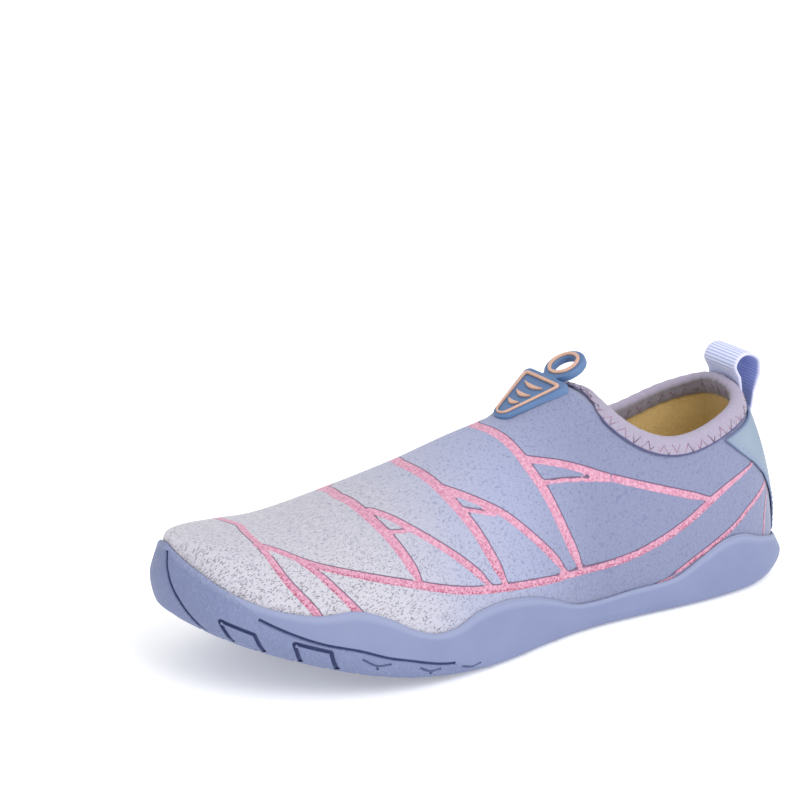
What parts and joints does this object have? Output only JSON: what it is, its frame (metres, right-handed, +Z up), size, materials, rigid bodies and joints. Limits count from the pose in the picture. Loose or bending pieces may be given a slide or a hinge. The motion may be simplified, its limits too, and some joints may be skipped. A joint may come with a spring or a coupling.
{
  "type": "water shoe",
  "caption": "Left slip-on water shoe with a hollow knit upper, bound collar, heel pull loop, instep tab with a finger ring, and a moulded cup sole with tread grooves.",
  "frame": {"origin": "middle of the base of the box, on the floor that the sole rests on", "axes": "+X from heel to toe, +Y to the outer (little toe) side, +Z up"},
  "size_m": [0.253, 0.0936, 0.0938],
  "materials": {
    "sole_rubber": "satin moulded rubber",
    "insole_foam": "matte lined foam",
    "knit": "matte knit",
    "tape": "matte elastic tape",
    "overlay": "matte synthetic film",
    "webbing": "ribbed webbing",
    "tab_rubber": "satin moulded rubber",
    "trim_rubber": "satin moulded rubber"
  },
  "bodies": {
    "root": {"sole": "sole_rubber", "insole": "insole_foam", "upper": "knit", "collar_binding": "tape", "heel_patch": "overlay", "pull_loop": "webbing", "pull_tab": "tab_rubber", "tab_outline": "trim_rubber", "tab_ring_rim": "trim_rubber", "tab_grip_1": "trim_rubber", "tab_grip_2": "trim_rubber", "tab_grip_3": "trim_rubber"}
  },
  "joints": []
}
